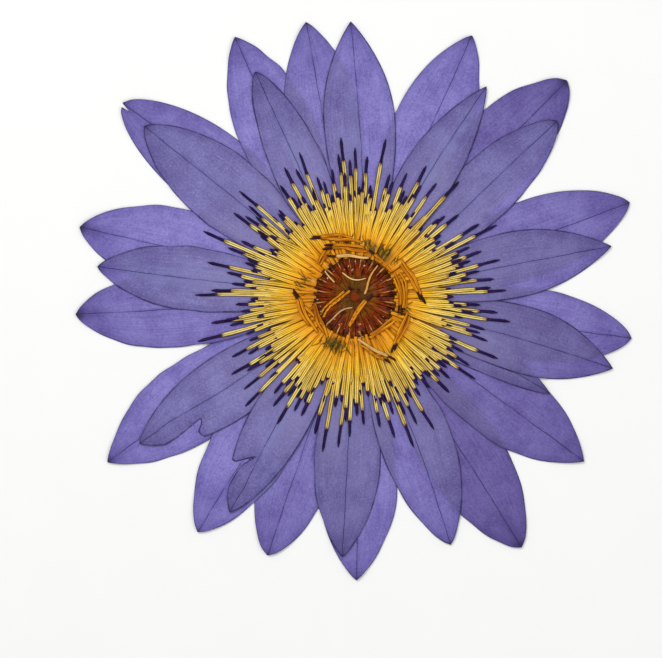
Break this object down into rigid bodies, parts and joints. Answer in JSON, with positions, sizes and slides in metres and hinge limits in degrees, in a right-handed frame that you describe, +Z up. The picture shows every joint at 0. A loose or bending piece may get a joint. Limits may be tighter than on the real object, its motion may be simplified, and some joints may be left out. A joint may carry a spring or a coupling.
{
  "type": "pressed water lily flower",
  "caption": "Water lily flower pressed flat, its pointed violet-blue petals in layered whorls round a ring of yellow, dark-tipped stamens and a dark, rayed central disc.",
  "frame": {"origin": "middle of the flower's outline, on the surface that it lies on", "axes": "+Z up through the thin direction, out of the flower's face; +Y towards the tip of the broad petal at the head of the flower; +X to the right of it, seen from above"},
  "size_m": [0.1472, 0.1478, 0.0036],
  "materials": {
    "sepal": "matte",
    "petal_outer": "matte",
    "petal_inner": "matte",
    "stamen": "satin",
    "stamen_folded": "satin",
    "pistil": "gloss"
  },
  "bodies": {
    "root": {"sepal_1": "sepal", "sepal_2": "sepal", "sepal_3": "sepal", "sepal_4": "sepal", "petal_outer_1": "petal_outer", "petal_outer_2": "petal_outer", "petal_outer_3": "petal_outer", "petal_outer_4": "petal_outer", "petal_outer_5": "petal_outer", "petal_outer_6": "petal_outer", "petal_outer_7": "petal_outer", "petal_outer_8": "petal_outer", "petal_outer_9": "petal_outer", "petal_outer_10": "petal_outer", "petal_outer_11": "petal_outer", "petal_inner_1": "petal_inner", "petal_inner_2": "petal_inner", "petal_inner_3": "petal_inner", "petal_inner_4": "petal_inner", "petal_inner_5": "petal_inner", "petal_inner_6": "petal_inner", "petal_inner_7": "petal_inner", "petal_inner_8": "petal_inner", "petal_inner_9": "petal_inner", "petal_inner_10": "petal_inner", "petal_inner_11": "petal_inner", "petal_inner_12": "petal_inner", "petal_inner_13": "petal_inner", "pistil": "pistil", "stamens_outer_1": "stamen", "stamens_outer_2": "stamen", "stamens_outer_3": "stamen", "stamens_outer_4": "stamen", "stamens_middle_1": "stamen", "stamens_middle_2": "stamen", "stamens_middle_3": "stamen", "stamens_middle_4": "stamen", "stamens_inner": "stamen", "stamen_folded_1": "stamen_folded", "stamen_folded_2": "stamen_folded", "stamen_folded_3": "stamen_folded", "stamen_folded_4": "stamen_folded", "stamen_folded_5": "stamen_folded", "stamen_folded_6": "stamen_folded", "stamen_folded_7": "stamen_folded", "stamen_folded_8": "stamen_folded", "stamen_folded_9": "stamen_folded", "stamen_folded_10": "stamen_folded", "stamen_folded_11": "stamen_folded", "stamen_folded_12": "stamen_folded", "stamen_folded_13": "stamen_folded", "stamen_folded_14": "stamen_folded", "stamen_folded_15": "stamen_folded", "stamen_folded_16": "stamen_folded", "stamen_folded_17": "stamen_folded", "stamen_folded_18": "stamen_folded", "stamen_folded_19": "stamen_folded", "stamen_folded_20": "stamen_folded", "stamen_folded_21": "stamen_folded"}
  },
  "joints": []
}
